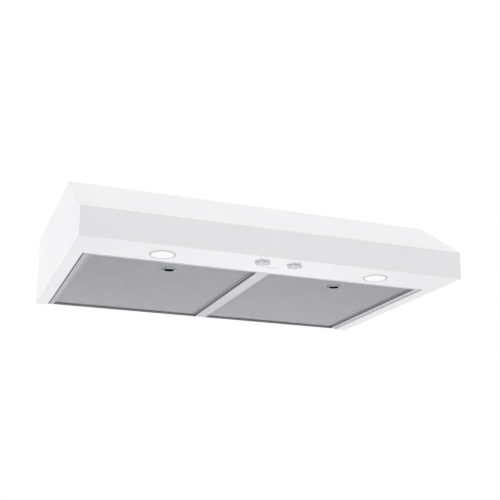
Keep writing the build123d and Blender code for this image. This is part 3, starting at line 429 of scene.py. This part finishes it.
def black_plastic():
    """Black mouldings: switches, LED supply, terminal block and inlet rings."""
    s = Shader("black_plastic")
    spark = s.noise(1200.0, 3.0)
    s.link(s.blend(s.mottle(s.noise(90.0)), (0.028, 0.028, 0.030), (0.045, 0.045, 0.048)), "Base Color")
    s.link(s.mottle(spark, 0.40, 0.58), "Roughness")
    s.link(s.relief(spark, 0.06 * MM, 0.5, rounding=0.4 * MM), "Normal")
    return s.material


def motor_steel():
    """Laminated stator steel: fine stacked sheets across the shaft."""
    s = Shader("motor_steel")
    waves = {"Vector": s.place, "Scale": 320.0, "Distortion": 0.6, "Detail": 2.0}
    layers = s.node("ShaderNodeTexWave", waves, bands_direction="X").outputs["Fac"]
    tone = s.blend(layers, (0.30, 0.31, 0.32), (0.46, 0.47, 0.48))
    s.link(s.blend(s.span(s.noise(60.0, 4.0), 0.5, 0.75, 0.0, 0.5), tone, (0.30, 0.26, 0.22)), "Base Color")
    s.link(s.mottle(s.noise(200.0), 0.40, 0.56), "Roughness")
    s.link(s.relief(layers, 0.08 * MM, 0.4, rounding=0.3 * MM), "Normal")
    s.fixed(Metallic=0.9)
    return s.material


def wheel_aluminium():
    return brushed("wheel_aluminium", (0.58, 0.585, 0.59), (0.70, 0.705, 0.71), 800.0, (0.1, 1.0, 1.0), 0.36)


def capacitor_can():
    return brushed("capacitor_can", (0.55, 0.555, 0.56), (0.68, 0.685, 0.69), 900.0, (1.0, 0.15, 0.15), 0.33)


FINISHES = {
    "white_enamel": white_enamel,
    "galvanised": galvanised,
    "tray_paint": tray_paint,
    "filter_edge": filter_edge,
    "filter_mesh": filter_mesh,
    "latch_plastic": chrome,
    "spring_steel": spring_steel,
    "bezel": bezel,
    "diffuser": diffuser,
    "circuit_board": circuit_board,
    "cast_aluminium": cast_aluminium,
    "knob_plastic": knob_plastic,
    "bright_steel": bright_steel,
    "black_plastic": black_plastic,
    "motor_steel": motor_steel,
    "wheel_aluminium": wheel_aluminium,
    "capacitor_can": capacitor_can,
}


def dress_nodes():
    """Every CAD node takes its slot's finish."""
    finishes = {slot: make() for slot, make in FINISHES.items()}
    for part in frame["record"]["subparts"]:
        node = frame["nodes"][part["node"]]
        node.data.materials.clear()
        node.data.materials.append(finishes[part["material_slot"]])
    return finishes


# --------------------------------------------------------------------------- pieces

def piece(name, mesh, body, material):
    """A finished mesh as a piece that rides on a CAD body."""
    obj = bpy.data.objects.new(name, mesh)
    bpy.context.scene.collection.objects.link(obj)
    mesh.materials.append(material)
    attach(obj, body)
    return obj


def mesh_from(name, points, faces):
    mesh = bpy.data.meshes.new(name)
    mesh.from_pydata(points, [], faces)
    mesh.validate()
    mesh.update()
    return mesh


LATCH_TRAVEL = 5.5 * MM
HOLE_R = 12.9 * MM
DIAMOND_LONG = 5.0 * MM
DIAMOND_SHORT = 2.5 * MM
STRAND_WIDTH = 0.95 * MM
STRAND_TILT = 0.22 * MM
STRAND_SHEET = 0.10 * MM
STRAND_DEPTH = 0.42 * MM
JOINT_OVERLAP = 0.7
LIP = 6.0 * MM
WINDOW_EDGE = 0.1 * MM


def in_slot(x, y, centre, radius, travel):
    """True inside an upright slot: a circle swept rearward by the travel."""
    dy = y - np.clip(y, centre[1], centre[1] + travel)
    return (x - centre[0]) ** 2 + dy ** 2 < radius ** 2


def make_mesh_layer(word, strand_material):
    """The filter's outer layer: expanded aluminium, rows of zigzag strands joined at their peaks."""
    low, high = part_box(f"filter_frame_{word}")
    window_x = (low.x + LIP + WINDOW_EDGE, high.x - LIP - WINDOW_EDGE)
    window_y = (low.y + LIP + WINDOW_EDGE, high.y - LIP - WINDOW_EDGE)
    centre = collar_centre(word)
    columns = int((window_x[1] - window_x[0]) / (DIAMOND_LONG / 2))
    rows = int((window_y[1] - window_y[0]) / DIAMOND_SHORT)
    pitch_x = (window_x[1] - window_x[0]) / columns
    pitch_y = (window_y[1] - window_y[0]) / rows
    middle_z = low.z + STRAND_DEPTH
    x = window_x[0] + pitch_x * np.arange(columns + 1)
    points = []
    faces = []
    section = (
        (-STRAND_WIDTH / 2, -STRAND_TILT - STRAND_SHEET / 2),
        (STRAND_WIDTH / 2, STRAND_TILT - STRAND_SHEET / 2),
        (STRAND_WIDTH / 2, STRAND_TILT + STRAND_SHEET / 2),
        (-STRAND_WIDTH / 2, -STRAND_TILT + STRAND_SHEET / 2),
    )
    reach = (pitch_y - STRAND_WIDTH * JOINT_OVERLAP) / 2
    for row in range(rows):
        zigzag = np.where((np.arange(columns + 1) + row) % 2 == 0, 1.0, -1.0)
        y = window_y[0] + pitch_y * (row + 0.5) + zigzag * reach
        start = len(points)
        for px, py in zip(x, y):
            points.extend((px, py + dy, middle_z + dz) for dy, dz in section)
        gone = in_slot((x[1:] + x[:-1]) / 2, (y[1:] + y[:-1]) / 2, centre, HOLE_R, LATCH_TRAVEL)
        for column in range(columns):
            if gone[column]:
                continue
            a = start + 4 * column
            b = a + 4
            faces.extend((a + i, a + (i + 1) % 4, b + (i + 1) % 4, b + i) for i in range(4))
            if column == 0 or gone[column - 1]:
                faces.append((a + 3, a + 2, a + 1, a))
            if column == columns - 1 or gone[column + 1]:
                faces.append((b, b + 1, b + 2, b + 3))
    mesh = mesh_from(f"mesh_layer_{word}", points, faces)
    return piece(f"mesh_layer_{word}", mesh, f"filter_{word}", strand_material)


GROMMET_IN = 12.0 * MM
GROMMET_OUT = 13.7 * MM
GROMMET_HEIGHT = 0.75 * MM
GROMMET_ROUND = 0.3 * MM
ARC_STEPS = 24


def slot_path(centre, radius, travel):
    """Points round an upright slot: its front half circle, then its rear one."""
    path = []
    for start, y in ((math.pi, centre[1]), (0.0, centre[1] + travel)):
        for step in range(ARC_STEPS + 1):
            angle = start + math.pi * step / ARC_STEPS
            path.append((centre[0] + radius * math.cos(angle), y + radius * math.sin(angle)))
    return path


def collar_centre(word):
    low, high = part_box(f"latch_collar_{word}")
    return ((low.x + high.x) / 2, low.y + (high.x - low.x) / 2)


def make_grommet(word, material):
    """Pressed eyelet that binds the mesh round the collar's slot."""
    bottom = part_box(f"filter_frame_{word}")[0].z
    top = bottom + GROMMET_HEIGHT
    section = (
        (GROMMET_IN, top),
        (GROMMET_IN, bottom + GROMMET_ROUND),
        (GROMMET_IN + GROMMET_ROUND, bottom),
        (GROMMET_OUT - GROMMET_ROUND, bottom),
        (GROMMET_OUT, bottom + GROMMET_ROUND),
        (GROMMET_OUT, top),
    )
    centre = collar_centre(word)
    points = []
    for radius, z in section:
        points.extend((x, y, z) for x, y in slot_path(centre, radius, LATCH_TRAVEL))
    count = len(points) // len(section)
    faces = []
    for ring in range(len(section)):
        here = ring * count
        above = (ring + 1) % len(section) * count
        for step in range(count):
            after = (step + 1) % count
            faces.append((here + step, here + after, above + after, above + step))
    mesh = mesh_from(f"grommet_{word}", points, faces)
    return piece(f"grommet_{word}", mesh, f"filter_{word}", material)


SPRING_COILS = 7.5
SPRING_WIRE_R = 0.25 * MM
COIL_STEPS = 20
WIRE_STEPS = 6
REARWARD = Vector((0.0, 1.0, 0.0))


def add_coil(points, faces, x, y, z, radius):
    """A compression spring along y, with its wire's ends capped."""
    start = len(points)
    steps = int(SPRING_COILS * COIL_STEPS)
    for step in range(steps + 1):
        turn = 2 * math.pi * step / COIL_STEPS
        along = y[0] + (y[1] - y[0]) * step / steps
        outward = Vector((math.cos(turn), 0.0, math.sin(turn)))
        middle = Vector((x, along, z)) + radius * outward
        for side in range(WIRE_STEPS):
            angle = 2 * math.pi * side / WIRE_STEPS
            offset = math.cos(angle) * outward + math.sin(angle) * REARWARD
            points.append(middle + SPRING_WIRE_R * offset)
    for step in range(steps):
        a = start + step * WIRE_STEPS
        b = a + WIRE_STEPS
        for side in range(WIRE_STEPS):
            after = (side + 1) % WIRE_STEPS
            faces.append((a + side, a + after, b + after, b + side))
    faces.append(tuple(start + side for side in reversed(range(WIRE_STEPS))))
    last = start + steps * WIRE_STEPS
    faces.append(tuple(last + side for side in range(WIRE_STEPS)))


def make_spring_coils(word, material):
    """Both of a latch's springs, which shorten as the latch slides back."""
    low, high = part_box(f"latch_springs_{word}")
    radius = (high.z - low.z) / 2 - SPRING_WIRE_R
    middle_z = (low.z + high.z) / 2
    span = (low.y + SPRING_WIRE_R, high.y - SPRING_WIRE_R)
    points = []
    faces = []
    for x in (low.x + radius + SPRING_WIRE_R, high.x - radius - SPRING_WIRE_R):
        add_coil(points, faces, x, span, middle_z, radius)
    name = f"spring_coils_{word}"
    coils = piece(name, mesh_from(name, points, faces), f"filter_{word}", material)
    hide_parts(f"latch_springs_{word}")
    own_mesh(coils)


TRAY_SHEET = 1.05 * MM
SEAL_WIDTH = 3.0 * MM
SEAL_HEIGHT = 3.3 * MM
SEAL_INSET = 0.2 * MM
SEAL_END = 1.0 * MM
SEAL_ARC = 10
SEAL_SQUARENESS = 0.6


def make_seal(name, edge_x, towards, material):
    """Bulb strip on a rail's upper side, next to the filter's edge."""
    base_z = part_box("filter_rail_front")[0].z + TRAY_SHEET
    middle_x = edge_x + towards * (SEAL_INSET + SEAL_WIDTH / 2)
    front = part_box("filter_rail_front")[1].y + SEAL_END
    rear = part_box("filter_rear_ledge")[0].y - SEAL_END
    points = []
    for y in (front, rear):
        for step in range(SEAL_ARC + 1):
            angle = math.pi * step / SEAL_ARC
            rise = max(math.sin(angle), 0.0) ** SEAL_SQUARENESS
            points.append((middle_x + SEAL_WIDTH / 2 * math.cos(angle), y, base_z + SEAL_HEIGHT * rise))
    count = SEAL_ARC + 1
    faces = [tuple(range(count)), tuple(reversed(range(count, 2 * count)))]
    for step in range(count):
        after = (step + 1) % count
        faces.append((step, count + step, count + after, after))
    return piece(name, mesh_from(name, points, faces), "housing", material)


def make_seals(material):
    """A strip on each side of the divider and one on each side rail."""
    divider_low, divider_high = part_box("filter_divider")
    make_seal("seal_divider_left", divider_low.x, 1, material)
    make_seal("seal_divider_right", divider_high.x, -1, material)
    make_seal("seal_rail_left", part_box("filter_rail_left")[1].x, -1, material)
    make_seal("seal_rail_right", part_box("filter_rail_right")[0].x, 1, material)


MARK_LENGTH = 28.0 * MM
MARK_HEIGHT = 2.2 * MM
MARK_BARS = 9
MARK_BAR_SHARE = 0.8
MARK_INK = 0.04 * MM
MARK_SETBACK = 64.0 * MM


def add_bar(points, faces, x, y, z):
    """A box from three (low, high) pairs."""
    start = len(points)
    points.extend((px, py, pz) for pz in z for py in y for px in x)
    for corners in ((0, 2, 3, 1), (4, 5, 7, 6), (0, 1, 5, 4), (2, 6, 7, 3), (0, 4, 6, 2), (1, 3, 7, 5)):
        faces.append(tuple(start + corner for corner in corners))


def make_panel_mark(material):
    """Plain printed rule between the knobs: a row of short bars without lettering."""
    pan_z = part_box("bottom_pan")[0].z
    pitch = MARK_LENGTH / MARK_BARS
    middle_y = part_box("hood_shell")[0].y + MARK_SETBACK
    y = (middle_y - MARK_HEIGHT / 2, middle_y + MARK_HEIGHT / 2)
    z = (pan_z - MARK_INK, pan_z - MARK_INK / 4)
    points = []
    faces = []
    for bar in range(MARK_BARS):
        start = -MARK_LENGTH / 2 + bar * pitch
        add_bar(points, faces, (start, start + MARK_BAR_SHARE * pitch), y, z)
    return piece("panel_mark", mesh_from("panel_mark", points, faces), "housing", material)


# --------------------------------------------------------------------------- stage

LIGHT_LEVEL = 0.955
LIGHT_TILT = (0.02, 0.25, 0.10)
LIGHT_COLOUR = (0.985, 0.99, 1.0, 1.0)
BACKDROP_COLOUR = (1.0, 1.0, 1.0, 1.0)


def make_world():
    """Even studio light, a little weaker from the front, with a white backdrop."""
    world = bpy.data.worlds.new("studio")
    bpy.context.scene.world = world
    world.use_nodes = True
    tree = world.node_tree
    tree.nodes.clear()
    place = tree.nodes.new("ShaderNodeTexCoord")
    tilt = tree.nodes.new("ShaderNodeVectorMath")
    tilt.operation = "DOT_PRODUCT"
    tilt.inputs[1].default_value = LIGHT_TILT
    tree.links.new(place.outputs["Generated"], tilt.inputs[0])
    level = tree.nodes.new("ShaderNodeMath")
    level.inputs[1].default_value = LIGHT_LEVEL
    tree.links.new(tilt.outputs["Value"], level.inputs[0])
    studio = tree.nodes.new("ShaderNodeBackground")
    tree.links.new(level.outputs[0], studio.inputs["Strength"])
    backdrop = tree.nodes.new("ShaderNodeBackground")
    path = tree.nodes.new("ShaderNodeLightPath")
    mix = tree.nodes.new("ShaderNodeMixShader")
    output = tree.nodes.new("ShaderNodeOutputWorld")
    studio.inputs["Color"].default_value = LIGHT_COLOUR
    backdrop.inputs["Color"].default_value = BACKDROP_COLOUR
    tree.links.new(path.outputs["Is Camera Ray"], mix.inputs[0])
    tree.links.new(studio.outputs[0], mix.inputs[1])
    tree.links.new(backdrop.outputs[0], mix.inputs[2])
    tree.links.new(mix.outputs[0], output.inputs["Surface"])


LIGHTS = (
    ("under_fill", (0.0, -0.25, -0.52), (0.0, -0.25, -0.15), (0.34, 0.30), 0.20),
    ("left_fill", (-0.62, 0.20, -0.50), (-0.30, 0.10, -0.15), (0.40, 0.30), 0.14),
)


def add_light(name, where, target, size, power):
    """A soft area light that the camera doesn't see."""
    light = bpy.data.lights.new(name, "AREA")
    light.shape = "RECTANGLE"
    light.size, light.size_y = size
    light.energy = power
    obj = bpy.data.objects.new(name, light)
    obj.location = where
    aim = Vector(target) - Vector(where)
    obj.rotation_euler = aim.to_track_quat("-Z", "Y").to_euler()
    obj.visible_camera = False
    bpy.context.scene.collection.objects.link(obj)


FLOOR_Z = -2.5
FLOOR_HALF = 30.0


def make_floor():
    corners = ((-1, -1), (1, -1), (1, 1), (-1, 1))
    points = [(x * FLOOR_HALF, y * FLOOR_HALF, FLOOR_Z) for x, y in corners]
    mesh = mesh_from("floor", points, [(0, 1, 2, 3)])
    floor = bpy.data.objects.new("floor", mesh)
    bpy.context.scene.collection.objects.link(floor)
    s = Shader("floor")
    s.link(s.blend(s.mottle(s.noise(0.8)), (0.84, 0.84, 0.845), (0.87, 0.87, 0.875)), "Base Color")
    s.link(s.mottle(s.noise(3.0), 0.75, 0.85), "Roughness")
    mesh.materials.append(s.material)


CAMERA_PLACE = (-0.62388, -1.75636, -0.62932)
CAMERA_YAW = 0.3687
CAMERA_PITCH = 0.2517
CAMERA_LENS = 63.854
CAMERA_SENSOR = 36.0
CAMERA_SHIFT = 0.10
CAMERA_REACH = 100.0


def make_camera():
    data = bpy.data.cameras.new("camera")
    data.lens = CAMERA_LENS
    data.sensor_width = CAMERA_SENSOR
    data.shift_y = CAMERA_SHIFT
    data.clip_end = CAMERA_REACH
    camera = bpy.data.objects.new("camera", data)
    camera.location = CAMERA_PLACE
    camera.rotation_euler = (math.pi / 2 + CAMERA_PITCH, 0.0, -CAMERA_YAW)
    bpy.context.scene.collection.objects.link(camera)
    bpy.context.scene.camera = camera


make_camera()
make_world()
make_floor()
for light in LIGHTS:
    add_light(*light)
bpy.context.scene.view_settings.view_transform = "Standard"
finishes = dress_nodes()
strand_material = mesh_strand()
for word in ("left", "right"):
    make_mesh_layer(word, strand_material)
    make_grommet(word, finishes["filter_edge"])
    make_spring_coils(word, finishes["spring_steel"])
make_panel_mark(mark_ink())
make_seals(seal_rubber())
